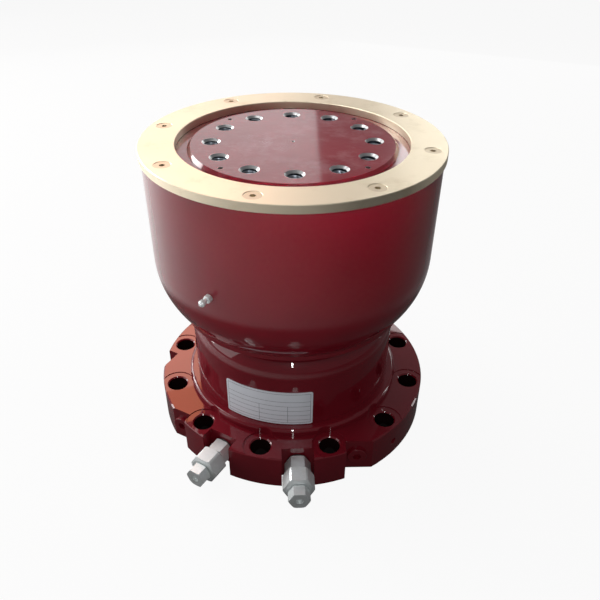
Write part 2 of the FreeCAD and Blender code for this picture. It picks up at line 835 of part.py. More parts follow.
def cut_ports(body):
    """Threaded ports, oil ways, the rim screw's hole and the grease way."""
    bore_side = S.bore_radius - S.drill_radius
    drill_level(body, "port_a", S.port_a_azimuth, S.port_height, port_hole(S.notch_seat, bore_side))
    port_b = port_hole(S.notch_seat, S.channel_circle_radius)
    drill_level(body, "port_b", S.port_b_azimuth, S.port_height, port_b)
    channel = sketch_on(
        body, "oil_channel", "XY_Plane", S.relief_bottom, S.port_b_azimuth, S.channel_circle_radius
    )
    circle(channel, S.channel_radius)
    pocket(body, channel, S.relief_bottom - S.port_height)
    for name, azimuth, seat, _, shift, side in GALLERIES:
        gallery = port_hole(seat, seat - S.port_thread_depth * 2)
        drill_level(body, "gallery_" + name, azimuth, S.port_height, gallery, shift * side)
    screw_end = S.foot_radius - S.rim_screw_bore_depth
    rim_screw = [
        (screw_end, ZERO),
        (S.foot_radius + S.foot_edge, ZERO),
        (S.foot_radius + S.foot_edge, S.rim_screw_radius),
        (screw_end, S.rim_screw_radius),
    ]
    drill_level(body, "rim_screw_hole", S.rim_screw_azimuth, S.rim_screw_height, rim_screw)
    nipple_end = S.bowl_radius - S.nipple_thread_length - S.nipple_bore_spare
    grease = [
        (S.grease_way_circle_radius, ZERO),
        (S.bowl_radius + S.foot_edge, ZERO),
        (S.bowl_radius + S.foot_edge, S.nipple_thread_radius),
        (nipple_end, S.nipple_thread_radius),
        (nipple_end, S.grease_way_radius),
        (S.grease_way_circle_radius, S.grease_way_radius),
    ]
    drill_level(body, "grease_hole", S.nipple_azimuth, S.nipple_height, grease)
    way = sketch_on(
        body, "grease_way", "XY_Plane", S.ledge, S.nipple_azimuth, S.grease_way_circle_radius
    )
    circle(way, S.grease_way_radius)
    pocket(body, way, S.ledge - S.nipple_height)


def cut_screw_holes(body):
    """Tapped holes for the end cover and the wear ring, and the drillings for the gear pins."""
    cover = sketch_on(
        body, "cover_screw_hole", "XY_Plane", S.cover_recess_depth, S.cover_screw_phase,
        S.cover_screw_circle / 2,
    )
    circle(cover, S.cover_screw_radius)
    cover_depth = S.cover_screw_end + S.cover_hole_spare - S.cover_recess_depth
    repeat(body, [pocket(body, cover, cover_depth, upward=True)], S.cover_screw_count)
    rim = sketch_on(
        body, "ring_screw_hole", "XY_Plane", S.rim_top, S.ring_screw_phase, S.ring_screw_circle / 2
    )
    circle(rim, S.ring_screw_radius)
    repeat(body, [pocket(body, rim, S.rim_top - S.ring_screw_end + S.ring_hole_spare)], S.ring_screw_count)
    pin = sketch_on(body, "gear_pin_hole", "XY_Plane", S.ledge, S.gear_pin_phase, S.cavity_radius)
    circle(pin, S.gear_pin_radius)
    repeat(body, [pocket(body, pin, S.ledge - S.gear_pin_bottom)], S.gear_pin_count)


def make_housing():
    body = housing_blank()
    cut_foot(body)
    cut_ports(body)
    cut_screw_holes(body)
    return body


def make_wear_ring():
    body = turned(
        "wear_ring",
        [
            (S.ring_inner_radius, S.rim_top),
            (S.ring_outer_radius, S.rim_top),
            (S.ring_outer_radius, S.ring_top - S.ring_edge),
            (S.ring_outer_radius - S.ring_edge, S.ring_top),
            (S.ring_inner_radius + S.ring_edge, S.ring_top),
            (S.ring_inner_radius, S.ring_top - S.ring_edge),
        ],
    )
    hole = S.ring_screw_radius + S.ring_screw_play
    mouth = S.ring_screw_head_radius + S.ring_screw_inset
    drill_ring(
        body, "countersink", S.ring_screw_circle, S.ring_screw_count, S.ring_screw_phase,
        [
            (ZERO, S.rim_top),
            (hole, S.rim_top),
            (hole, S.ring_top - (mouth - hole)),
            (mouth, S.ring_top),
            (ZERO, S.ring_top),
        ],
    )
    return body


def make_wear_ring_screws():
    top = S.ring_top - S.ring_screw_inset
    cone_bottom = top - (S.ring_screw_head_radius - S.ring_screw_radius)
    return pins(
        "wear_ring_screws", S.ring_screw_circle, S.ring_screw_count, S.ring_screw_phase,
        [
            (ZERO, S.ring_screw_end),
            (S.ring_screw_radius, S.ring_screw_end),
            (S.ring_screw_radius, cone_bottom),
            (S.ring_screw_head_radius, top),
            (ZERO, top),
        ],
        (S.ring_screw_socket, top, S.ring_screw_socket_depth, False),
    )


def make_output_shaft():
    """Output flange and shaft in one, with left-handed helical teeth below the flange."""
    body = turned(
        "output_shaft_turned",
        [
            (ZERO, S.shaft_bottom),
            (S.thread_radius - S.thread_edge, S.shaft_bottom),
            (S.thread_radius, S.shaft_bottom + S.thread_edge),
            (S.thread_radius, S.nut_top),
            (S.lower_journal_radius, S.nut_top),
            (S.lower_journal_radius, S.lower_journal_top),
            (S.journal_radius, S.lower_journal_top),
            (S.journal_radius, S.shoulder_bottom - S.flange_fillet, S.flange_fillet, -1),
            (S.journal_radius + S.flange_fillet, S.shoulder_bottom),
            (S.shoulder_radius, S.shoulder_bottom),
            (S.shoulder_radius, S.shoulder_top),
            (S.output_disc_radius, S.shoulder_top),
            (S.output_disc_radius, S.output_top - S.output_disc_edge),
            (S.output_disc_radius - S.output_disc_edge, S.output_top),
            (ZERO, S.output_top),
        ],
    )
    bottom = S.output_top - S.output_bolt_depth
    drill_ring(
        body, "output_bolt_hole", S.output_bolt_circle, S.output_bolt_count, ZERO,
        [
            (ZERO, bottom - S.output_bolt_point),
            (S.output_bolt_radius, bottom),
            (S.output_bolt_radius, S.output_top - (S.output_bolt_chamfer - S.output_bolt_radius)),
            (S.output_bolt_chamfer, S.output_top),
            (ZERO, S.output_top),
        ],
    )
    dowel = sketch_on(body, "dowel_hole", "XY_Plane", S.output_top, S.dowel_phase, S.dowel_circle / 2)
    circle(dowel, S.dowel_radius)
    repeat(body, [pocket(body, dowel, S.dowel_depth)], S.dowel_count)
    centre = sketch_on(body, "centre_hole", "XZ_Plane")
    outline(
        centre,
        [
            (ZERO, S.output_top - S.centre_depth),
            (S.centre_radius, S.output_top - S.centre_depth + S.centre_radius / 2),
            (S.centre_radius, S.output_top - (S.centre_chamfer - S.centre_radius)),
            (S.centre_chamfer, S.output_top),
            (ZERO, S.output_top),
        ],
    )
    groove(body, centre)
    lock = sketch_on(body, "lock_screw_hole", "XY_Plane", S.shaft_bottom, ZERO, S.thread_radius)
    circle(lock, S.lock_screw_radius)
    pocket(body, lock, S.nut_top - S.shaft_bottom, upward=True)
    teeth = whole("output_shaft_teeth", inner_teeth(S.teeth_bottom.value, S.teeth_top.value))
    return boolean("Part::Fuse", "output_shaft", body, teeth)


def make_piston_sleeve():
    """Piston head and sleeve in one: outer teeth for the ring gear and teeth in its bore for the shaft."""
    low, top = S.piston_bottom, S.head_top
    band_low, seal_low, inner_low = low + S.band_bottom, low + S.seal_bottom, low + S.inner_seal_bottom
    band_floor = S.head_radius - S.band_groove_depth
    seal_floor = S.head_radius - S.seal_groove_depth
    inner_floor = S.head_bore_radius + S.inner_seal_depth
    body = turned(
        "piston_head",
        [
            (S.head_bore_radius, low),
            (S.head_radius - S.head_edge, low),
            (S.head_radius, low + S.head_edge),
            (S.head_radius, band_low),
            (band_floor, band_low),
            (band_floor, band_low + S.band_groove_width),
            (S.head_radius, band_low + S.band_groove_width),
            (S.head_radius, seal_low),
            (seal_floor, seal_low),
            (seal_floor, seal_low + S.seal_groove_width),
            (S.head_radius, seal_low + S.seal_groove_width),
            (S.head_radius, top - S.head_edge),
            (S.head_radius - S.head_edge, top),
            (S.sleeve_radius, top),
            (S.sleeve_radius, top + S.sleeve_neck),
            (S.sleeve_bore_radius, top + S.sleeve_neck),
            (S.sleeve_bore_radius, top),
            (S.head_bore_radius, top),
            (S.head_bore_radius, inner_low + S.inner_seal_width),
            (inner_floor, inner_low + S.inner_seal_width),
            (inner_floor, inner_low),
            (S.head_bore_radius, inner_low),
        ],
    )
    neck_top, sleeve_top = (top + S.sleeve_neck).value, S.sleeve_top.value
    bore_top = (S.sleeve_top - S.sleeve_bore_teeth_length).value
    teeth = whole("sleeve_teeth", outer_teeth(neck_top, sleeve_top))
    bore = ring("sleeve_bore", ZERO, S.sleeve_bore_radius, top + S.sleeve_neck, as_size(bore_top))
    hole = whole("sleeve_bore_teeth", inner_teeth(bore_top, sleeve_top, TOOTH_CLEARANCE))
    sleeve = boolean("Part::Cut", "sleeve_bored", boolean("Part::Cut", "sleeve_toothed", teeth, hole), bore)
    return boolean("Part::Fuse", "piston_sleeve", body, sleeve)


def make_piston_rings():
    """Guide band and seal in the piston's outer grooves, and the seal in its bore."""
    low = S.piston_bottom
    band_low = low + S.band_bottom + S.moving_gap
    seal_low = low + S.seal_bottom + S.moving_gap
    inner_low = low + S.inner_seal_bottom
    band = ring(
        "piston_guide_band",
        S.head_radius - S.band_groove_depth + S.moving_gap,
        S.band_outer_radius,
        band_low,
        band_low + S.band_groove_width - S.moving_gap * 2,
    )
    seal = ring(
        "piston_outer_seal",
        S.head_radius - S.seal_groove_depth + S.moving_gap,
        S.bore_radius - S.seal_clearance,
        seal_low,
        seal_low + S.seal_groove_width - S.moving_gap * 2,
    )
    inner = ring(
        "piston_inner_seal",
        S.journal_radius + S.seal_clearance,
        S.head_bore_radius + S.inner_seal_depth,
        inner_low,
        inner_low + S.inner_seal_width,
    )
    return [band, seal, inner]


def make_ring_gear():
    """Ring gear with right-handed teeth in its bore, its dowel pins and its lock ring."""
    body = ring("ring_gear_turned", S.outer_root_radius, S.cavity_radius, S.gear_seat, S.gear_top)
    pin = sketch_on(body, "pin_half", "XY_Plane", S.gear_top, S.gear_pin_phase, S.cavity_radius)
    circle(pin, S.gear_pin_radius)
    repeat(body, [pocket(body, pin, S.gear_pin_length)], S.gear_pin_count)
    hole = whole("ring_gear_bore", outer_teeth(S.gear_seat.value, S.gear_top.value, TOOTH_CLEARANCE))
    gear = boolean("Part::Cut", "ring_gear", body, hole)
    gear_pins = pins(
        "ring_gear_pins", S.cavity_radius * 2, S.gear_pin_count, S.gear_pin_phase,
        [
            (ZERO, S.gear_pin_bottom),
            (S.gear_pin_radius, S.gear_pin_bottom),
            (S.gear_pin_radius, S.gear_top),
            (ZERO, S.gear_top),
        ],
    )
    lock_top = S.gear_top + S.lock_ring_height
    lock = ring("ring_gear_lock_ring", S.lock_ring_bore_radius, S.cavity_radius, S.gear_top, lock_top)
    spanner = sketch_on(lock, "spanner_hole", "XY_Plane", lock_top, ZERO, S.spanner_circle_radius)
    circle(spanner, S.spanner_hole_radius)
    repeat(lock, [pocket(lock, spanner, S.spanner_hole_depth)], S.spanner_hole_count)
    return [gear, gear_pins, lock]


def make_upper_bearing():
    """Thrust washer, radial bush and lip seal round the output flange's shoulder."""
    bore = S.bearing_bore_radius
    washer = ring("upper_thrust_washer", S.thrust_washer_bore_radius, bore, S.ledge, S.washer_top)
    grease = sketch_on(
        washer, "washer_grease_hole", "XY_Plane", S.washer_top, S.nipple_azimuth, S.grease_way_circle_radius
    )
    circle(grease, S.grease_way_radius)
    pocket(washer, grease)
    bush_bore = S.shoulder_radius + S.running_clearance
    bush = ring("upper_bush", bush_bore, bore, S.upper_bush_bottom, S.upper_bush_top)
    lip = S.shoulder_radius + S.seal_clearance
    relief = lip + S.seal_lip_depth
    middle = (S.upper_seal_bottom + S.upper_seal_top) / 2
    seal = turned(
        "upper_shaft_seal",
        [
            (relief, S.upper_seal_bottom),
            (bore, S.upper_seal_bottom),
            (bore, S.upper_seal_top),
            (lip, S.upper_seal_top),
            (lip, middle),
        ],
    )
    return [washer, bush, seal]


def make_end_cover():
    """End cover with its O-ring and screws, and the lower bush, seal and thrust washer in it."""
    groove_out = S.oring_circle_radius + S.oring_groove_width / 2
    groove_in = S.oring_circle_radius - S.oring_groove_width / 2
    groove_floor = S.cover_recess_depth - S.oring_radius * 2
    edge = S.cover_recess_radius - S.cover_edge_gap
    cover = turned(
        "end_cover",
        [
            (S.nut_recess_radius, S.cover_inset),
            (edge, S.cover_inset),
            (edge, S.cover_recess_depth),
            (groove_out, S.cover_recess_depth),
            (groove_out, groove_floor),
            (groove_in, groove_floor),
            (groove_in, S.cover_recess_depth),
            (S.spigot_radius, S.cover_recess_depth),
            (S.spigot_radius, S.spigot_top),
            (S.bush_seat_radius, S.spigot_top),
            (S.bush_seat_radius, S.nut_recess_top),
            (S.nut_recess_radius, S.nut_recess_top),
        ],
    )
    hole = S.cover_screw_radius + S.cover_screw_play
    sink = S.cover_screw_head_radius + S.cover_screw_head_play
    drill_ring(
        cover, "cover_hole", S.cover_screw_circle, S.cover_screw_count, S.cover_screw_phase,
        [
            (ZERO, S.cover_inset),
            (sink, S.cover_inset),
            (sink, S.cover_screw_seat),
            (hole, S.cover_screw_seat),
            (hole, S.cover_recess_depth),
            (ZERO, S.cover_recess_depth),
        ],
    )
    screws = pins(
        "end_cover_screws", S.cover_screw_circle, S.cover_screw_count, S.cover_screw_phase,
        [
            (ZERO, S.cover_screw_head),
            (S.cover_screw_head_radius, S.cover_screw_head),
            (S.cover_screw_head_radius, S.cover_screw_seat),
            (S.cover_screw_radius, S.cover_screw_seat),
            (S.cover_screw_radius, S.cover_screw_end),
            (ZERO, S.cover_screw_end),
        ],
        (S.cover_screw_socket, S.cover_screw_head, S.cover_screw_socket_depth, True),
    )
    oring = new_body("end_cover_oring")
    section = sketch_on(oring, "oring_section", "XZ_Plane")
    circle(section, S.oring_radius, S.oring_circle_radius, groove_floor + S.oring_radius)
    turn(oring, section)
    return [cover, screws, oring]


def make_lower_bearing():
    """Bush, lip seal and thrust washer round the shaft's lower journal, and the shaft nut."""
    bush_top = S.nut_recess_top + S.lower_bush_height
    bush_bore = S.lower_journal_radius + S.running_clearance
    bush = ring("lower_bush", bush_bore, S.bush_seat_radius, S.nut_recess_top, bush_top)
    seal_bottom = bush_top + S.lower_seal_gap
    seal_top = seal_bottom + S.lower_seal_height
    lip = S.lower_journal_radius + S.seal_clearance
    seal = turned(
        "lower_shaft_seal",
        [
            (lip, seal_bottom),
            (S.bush_seat_radius, seal_bottom),
            (S.bush_seat_radius, seal_top),
            (lip + S.seal_lip_depth, seal_top),
            (lip, (seal_bottom + seal_top) / 2),
        ],
    )
    washer_bore = S.lower_journal_radius + S.moving_gap
    washer = ring(
        "lower_thrust_washer", washer_bore, S.lower_washer_radius, S.washer_bottom, S.nut_recess_top
    )
    return [bush, seal, washer]


def make_shaft_nut():
    """Slotted nut that holds the shaft down, and the grub screw that keys it."""
    nut = turned(
        "shaft_nut",
        [
            (S.thread_radius, S.nut_bottom),
            (S.nut_radius - S.nut_edge, S.nut_bottom),
            (S.nut_radius, S.nut_bottom + S.nut_edge),
            (S.nut_radius, S.nut_top),
            (S.thread_radius, S.nut_top),
        ],
    )
    slot = sketch_on(nut, "nut_slot", "XY_Plane", S.nut_top)
    half = S.nut_slot_width / 2
    rectangle(slot, S.nut_radius - S.nut_slot_depth, ZERO - half, S.nut_radius + S.nut_edge, half)
    repeat(nut, [pocket(nut, slot)], S.nut_slot_count)
    hole = sketch_on(nut, "nut_lock_hole", "XY_Plane", S.nut_top, ZERO, S.thread_radius)
    circle(hole, S.lock_screw_radius)
    pocket(nut, hole)
    low = S.nut_bottom + S.lock_screw_inset
    screw = new_body("shaft_nut_lock_screw")
    section = sketch_on(screw, "lock_screw_section", "XY_Plane", low, ZERO, S.thread_radius)
    circle(section, S.lock_screw_radius)
    pad(screw, section, S.lock_screw_length)
    DOC.recompute()
    socket = sketch_on(screw, "lock_screw_socket", "XY_Plane", low, ZERO, S.thread_radius)
    hexagon(socket, S.lock_screw_socket)
    pocket(screw, socket, S.lock_screw_socket_depth, upward=True)
    return [nut, screw]


def make_port_fitting(name, azimuth):
    """Adapter, union nut and blanking cap on one port."""
    stud_start = S.notch_seat - S.port_thread_depth + S.hex_bevel
    hex_start = S.notch_seat + S.bonded_seal_thickness
    hex_end = hex_start + S.adapter_hex_length
    cone_end = hex_end + S.adapter_cone_length
    adapter = sideways(
        name + "_adapter",
        [
            (stud_start, S.adapter_bore_radius),
            (stud_start, S.port_thread_radius),
            (hex_start, S.port_thread_radius),
            *hex_blank(hex_start, hex_end, S.adapter_hex, S.hex_bevel),
            (hex_end, S.adapter_cone_radius),
            (cone_end, S.adapter_cone_radius),
            (cone_end, S.adapter_bore_radius),
        ],
        azimuth,
        S.port_height,
    )
    flats(adapter, S.adapter_hex, hex_start, hex_end)
    nut_start = hex_end + S.fitting_nut_gap
    nut_end = nut_start + S.fitting_nut_length
    nut = sideways(
        name + "_nut",
        [
            (nut_start, S.adapter_cone_radius),
            (nut_start, S.fitting_nut_radius - S.fitting_nut_bevel),
            (nut_start + S.fitting_nut_bevel / 2, S.fitting_nut_radius),
            (nut_end - S.fitting_nut_bevel / 2, S.fitting_nut_radius),
            (nut_end, S.fitting_nut_radius - S.fitting_nut_bevel),
            (nut_end, S.cap_stem_radius),
            (cone_end, S.cap_stem_radius),
            (cone_end, S.adapter_cone_radius),
        ],
        azimuth,
        S.port_height,
    )
    flats(nut, S.fitting_nut_hex, nut_start, nut_end)
    cap_start = nut_end + S.fitting_nut_gap
    cap_end = cap_start + S.cap_hex_length
    cap = sideways(
        name + "_cap",
        [
            (cone_end, ZERO),
            (cone_end, S.cap_stem_radius),
            (cap_start, S.cap_stem_radius),
            *hex_blank(cap_start, cap_end, S.cap_hex, S.hex_bevel),
            (cap_end, S.cap_dimple_radius),
            (cap_end - S.cap_dimple_depth, S.cap_dimple_radius),
            (cap_end - S.cap_dimple_depth, ZERO),
        ],
        azimuth,
        S.port_height,
    )
    flats(cap, S.cap_hex, cap_start, cap_end)
    return [adapter, nut, cap]


def make_port_seals():
    """Bonded seals between the notch seats and the adapters."""
    end = S.notch_seat + S.bonded_seal_thickness
    inner = S.port_thread_radius + S.seal_clearance
    section = [
        (S.notch_seat, inner),
        (S.notch_seat, S.bonded_seal_radius),
        (end, S.bonded_seal_radius),
        (end, inner),
    ]
    ports = (("port_a_seal", S.port_a_azimuth), ("port_b_seal", S.port_b_azimuth))
    return group("port_seals", [sideways(name, section, azimuth, S.port_height) for name, azimuth in ports])


def make_gallery_plugs():
    """Socket plugs in the three pockets of the foot's rim."""
    edge = S.hex_bevel / 2
    bodies = []
    for name, azimuth, seat, _, shift, side in GALLERIES:
        start = seat - S.gallery_plug_length
        end = seat + S.gallery_plug_collar
        section = [
            (start, ZERO),
            (start, S.port_thread_radius - S.hex_bevel),
            (start + S.hex_bevel, S.port_thread_radius),
            (seat, S.port_thread_radius),
            (seat, S.gallery_plug_collar_radius),
            (end - edge, S.gallery_plug_collar_radius),
            (end, S.gallery_plug_collar_radius - edge),
            (end, ZERO),
        ]
        plug = sideways("plug_" + name, section, azimuth, S.port_height, shift * side)
        level_socket(plug, S.gallery_plug_socket, end, S.gallery_plug_socket_depth)
        bodies.append(plug)
    return group("gallery_plugs", bodies)


def make_rim_screw():
    end = S.foot_radius - S.rim_screw_inset
    start = end - S.rim_screw_length
    section = [(start, ZERO), (start, S.rim_screw_radius), (end, S.rim_screw_radius), (end, ZERO)]
    screw = sideways("foot_lock_screw", section, S.rim_screw_azimuth, S.rim_screw_height)
    level_socket(screw, S.rim_screw_socket, end, S.rim_screw_socket_depth)
    return screw


def make_grease_nipple():
    start = S.bowl_radius - S.nipple_thread_length
    hex_end = S.bowl_radius + S.nipple_hex_length
    neck_end = hex_end + S.nipple_neck_length
    cone_end = neck_end + S.nipple_cone_length
    ball_end = cone_end + S.nipple_ball_length
    end = ball_end + S.nipple_nose_length
    bevel = S.hex_bevel / 2
    nipple = sideways(
        "grease_nipple",
        [
            (start, ZERO),
            (start, S.nipple_thread_radius),
            (S.bowl_radius, S.nipple_thread_radius),
            *hex_blank(S.bowl_radius, hex_end, S.nipple_hex, bevel),
            (hex_end, S.nipple_neck_radius),
            (neck_end, S.nipple_neck_radius),
            (cone_end, S.nipple_ball_radius),
            (ball_end, S.nipple_ball_radius),
            (end, S.nipple_nose_radius),
            (end, ZERO),
        ],
        S.nipple_azimuth,
        S.nipple_height,
    )
    flats(nipple, S.nipple_hex, S.bowl_radius, hex_end)
    return nipple


def make_nameplate():
    """Bare plate curved round the label land, with rounded corners."""
    body = new_body("nameplate")
    sketch = sketch_on(body, "plate_section", "XZ_Plane")
    bottom = S.hub_top + S.plate_lift
    inner = S.land_radius + S.plate_glue
    rectangle(sketch, inner, bottom, inner + S.plate_thickness, bottom + S.plate_height)
    plate = turn(body, sketch)
    plate.Midplane = True
    bind(plate, "Angle", S.plate_angle)
    DOC.recompute()
    across = [
        f"Edge{index}"
        for index, edge in enumerate(plate.Shape.Edges, 1)
        if abs(edge.Length - S.plate_thickness.value) < 1e-3
    ]
    corners = body.newObject("PartDesign::Fillet", "plate_corners")
    corners.Base = (plate, across)
    bind(corners, "Radius", S.plate_corner)
    body.Placement = Placement(Vector(), Rotation(Vector(0, 0, 1), S.plate_azimuth.value))
    DOC.recompute()
    return body


def make_all():
    """Build every node of the actuator."""
    return [
        make_housing(),
        make_wear_ring(),
        make_wear_ring_screws(),
        make_output_shaft(),
        make_piston_sleeve(),
        *make_piston_rings(),
        *make_ring_gear(),
        *make_upper_bearing(),
        *make_end_cover(),
        *make_lower_bearing(),
        *make_shaft_nut(),
        *make_port_fitting("port_a", S.port_a_azimuth),
        *make_port_fitting("port_b", S.port_b_azimuth),
        make_port_seals(),
        make_gallery_plugs(),
        make_rim_screw(),
        make_grease_nipple(),
        make_nameplate(),
    ]


def check_document():
    """Stop if any feature failed to compute."""
    DOC.recompute()
    for item in DOC.Objects:
        if "Invalid" in item.State or "Error" in item.State:
            raise RuntimeError(f"{item.Name} did not compute")


def export(nodes):
    """Write each node to its own STEP file."""
    os.makedirs("parts", exist_ok=True)
    for node in nodes:
        if node.Shape.isNull() or not node.Shape.isValid():
            raise RuntimeError(f"{node.Label} has no valid shape")
        node.Shape.exportStep(f"parts/{node.Label}.step")


NODES = make_all()
check_document()
export(NODES)
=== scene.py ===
"""Dresses a packed rotary actuator: paint, brass, plating, screw threads and a stage."""

import math

import bmesh
import bpy
from mathutils import Matrix, Vector


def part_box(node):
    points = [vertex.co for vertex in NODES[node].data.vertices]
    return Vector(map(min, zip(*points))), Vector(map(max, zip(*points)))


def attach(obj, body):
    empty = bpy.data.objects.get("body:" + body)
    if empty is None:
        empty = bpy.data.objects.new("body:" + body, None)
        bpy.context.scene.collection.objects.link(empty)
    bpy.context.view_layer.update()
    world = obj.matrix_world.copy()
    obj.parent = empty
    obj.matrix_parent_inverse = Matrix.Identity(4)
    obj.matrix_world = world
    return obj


bl_info = {
    "name": "Rotary actuator looks",
    "version": (1, 0, 0),
    "blender": (4, 5, 0),
    "location": "3D View > Sidebar > Actuator",
    "description": "Finishes a packed rotary actuator and sets the stage around it",
    "category": "Object",
}

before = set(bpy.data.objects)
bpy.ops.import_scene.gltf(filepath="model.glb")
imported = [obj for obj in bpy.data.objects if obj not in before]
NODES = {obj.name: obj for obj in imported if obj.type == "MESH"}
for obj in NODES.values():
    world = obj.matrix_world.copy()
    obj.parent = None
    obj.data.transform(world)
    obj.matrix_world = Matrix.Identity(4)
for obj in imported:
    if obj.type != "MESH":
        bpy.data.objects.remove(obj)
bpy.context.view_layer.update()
MM = 0.001

OUTPUT_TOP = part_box("output_shaft")[1].z
RIM_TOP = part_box("housing")[1].z

# Circles of holes about the shaft's axis: how far out, how far apart, and where they start.
BOLT_COUNT = 12
BOLT_STEP = math.radians(30.0)
OUTPUT_BOLT_REACH = 80.25 * MM
FOOT_BOLT_REACH = 141.5 * MM
FOOT_BOLT_PHASE = math.radians(15.0)
DOWEL_REACH = 93.5 * MM
DOWEL_STEP = math.radians(90.0)
DOWEL_PHASE = math.radians(45.0)

# The nameplate's bend about the shaft's axis, the azimuth of its middle, and half its width.
PLATE_BEND = 116.0 * MM
PLATE_AZIMUTH = math.radians(-104.6)
PLATE_HALF_WIDTH = 48.9 * MM

# The thread's turns, the steps in a turn, and its half width and depth as shares of its pitch.
THREAD_TURNS = 9
THREAD_STEPS = 24
THREAD_HALF_WIDTH = 0.49
THREAD_DEPTH = 0.32
THREAD_START = OUTPUT_TOP - 22.0 * MM

# Colours that no panel value sets.
# Painted shade for the inside of the foot's bolt holes.
PAINT_IN_SHADE = (0.012, 0.003, 0.003)
# Painted shade for the bare steel deep in the output disc's holes.
STEEL_PAINTED_SHADE = (0.07, 0.08, 0.095)
STEEL_THREAD = (0.34, 0.38, 0.43)
BRASS_STAIN = (0.45, 0.36, 0.2)
ZINC_BLOOM = (0.60, 0.60, 0.52)
OXIDE_DARK, OXIDE_PALE = (0.035, 0.035, 0.038), (0.09, 0.09, 0.095)
RUBBER_DARK, RUBBER_PALE = (0.012, 0.012, 0.013), (0.035, 0.035, 0.036)
BAND_DARK, BAND_PALE = (0.10, 0.08, 0.045), (0.20, 0.16, 0.09)
# Painted shadow on the floor under and round the object, as the object mirrors it.
FLOOR_PAINTED_SHADOW = (0.012, 0.010, 0.010)
SKY = (0.93, 0.95, 1.0, 1.0)
WHITE = (1.0, 1.0, 1.0, 1.0)

# Each lamp's name, place, the height on the shaft's axis at which it aims, its size and its power.
LAMPS = (
    ("near_lamp", (-0.01, -0.75, 0.68), 0.15, (0.022, 0.45), 1.6),
    ("front_window", (0.10, -1.25, 0.85), 0.33, (0.2, 0.2), 0.15),
    ("roof_window", (-0.55, 0.45, 1.75), 0.20, (0.9, 0.9), 14.0),
    ("left_window", (-1.5, -0.3, 0.7), 0.2, (0.8, 1.1), 5.0),
    ("low_window", (-1.5, 0.45, 0.42), 0.15, (0.9, 0.25), 6.0),
    ("side_window", (-1.9, 1.75, 0.8), 0.25, (1.7, 1.3), 11.0),
    ("right_strip", (1.3, 0.3, 0.35), 0.2, (0.15, 0.6), 1.2),
    ("back_window", (-0.50, 1.7, 0.85), 0.3, (1.3, 1.3), 6.2),
    ("far_window", (0.75, 1.7, 0.43), 0.3, (1.2, 0.86), 3.0),
    ("high_window", (0.78, 1.7, 1.15), 0.3, (0.7, 0.4), 3.2),
    ("bright_pane", (-1.66, 1.12, 0.92), 0.1, (0.85, 0.6), 14.0),
    ("warm_lamp", (-0.60, 1.9, 1.75), 0.1, (0.7, 0.5), 5.0),
)
# One lamp is narrow: it lights the bowl's front alone, and the paint doesn't mirror it.
NARROW_LAMP = "front_window"
NARROW_SPREAD, FULL_SPREAD = math.radians(12.0), math.radians(180.0)
# Another is warm: it gives the foot's left side an orange mirror image.
WARM_LAMP = "warm_lamp"
WARM_LIGHT, DAYLIGHT = (1.0, 0.34, 0.16), (1.0, 1.0, 1.0)


def stage_settings():
    """The panel's values for the stage."""
    return bpy.context.scene.actuator_stage


def finish_settings():
    """The panel's values for the finishes and the threads."""
    return bpy.context.scene.actuator_finish


class ActuatorFinish(bpy.types.PropertyGroup):
    """Colours of the actuator's finishes and sizes of its screw threads"""

    paint: bpy.props.FloatVectorProperty(
        name="Paint",
        description="Colour of the gloss paint on the housing and output disc",
        subtype="COLOR",
        default=(0.150, 0.0045, 0.0110),
        min=0.0,
        max=1.0,
    )
    paint_light: bpy.props.FloatVectorProperty(
        name="Paint, thin coat",
        description="Colour of the paint where its coat is thinner",
        subtype="COLOR",
        default=(0.190, 0.0065, 0.0150),
        min=0.0,
        max=1.0,
    )
    brass: bpy.props.FloatVectorProperty(
        name="Bearing brass",
        description="Colour of the wear ring and the inner bearings",
        subtype="COLOR",
        default=(0.84, 0.75, 0.57),
        min=0.0,
        max=1.0,
    )
    steel: bpy.props.FloatVectorProperty(
        name="Machined steel",
        description="Colour of bare cut steel",
        subtype="COLOR",
        default=(0.60, 0.60, 0.60),
        min=0.0,
        max=1.0,
    )
    zinc: bpy.props.FloatVectorProperty(
        name="Zinc plate",
        description="Colour of the plated fittings",
        subtype="COLOR",
        default=(0.90, 0.94, 0.94),
        min=0.0,
        max=1.0,
    )
    plate: bpy.props.FloatVectorProperty(
        name="Nameplate",
        description="Colour of the bare nameplate",
        subtype="COLOR",
        default=(0.86, 0.90, 0.96),
        min=0.0,
        max=1.0,
    )
    dust: bpy.props.FloatVectorProperty(
        name="Rubbed paint",
        description="Colour of the output face where it is rubbed dull",
        subtype="COLOR",
        default=(0.55, 0.47, 0.50),
        min=0.0,
        max=1.0,
    )
    ink: bpy.props.FloatVectorProperty(
        name="Nameplate lines",
        description="Colour of the plain ruled lines on the nameplate",
        subtype="COLOR",
        default=(0.13, 0.15, 0.18),
        min=0.0,
        max=1.0,
    )
    bronze: bpy.props.FloatVectorProperty(
        name="Wear ring screws",
        description="Colour of the screws in the wear ring",
        subtype="COLOR",
        default=(0.66, 0.57, 0.42),
        min=0.0,
        max=1.0,
    )
    thread_radius: bpy.props.FloatProperty(
        name="Thread radius",
        description="Radius of the output holes, on which the threads stand",
        subtype="DISTANCE",
        default=7.0 * MM,
        min=0.001,
        max=0.05,
    )
    thread_pitch: bpy.props.FloatProperty(
        name="Thread pitch",
        description="Pitch of the screw threads in the output holes",
        subtype="DISTANCE",
        default=2.0 * MM,
        min=0.0005,
        max=0.01,
    )


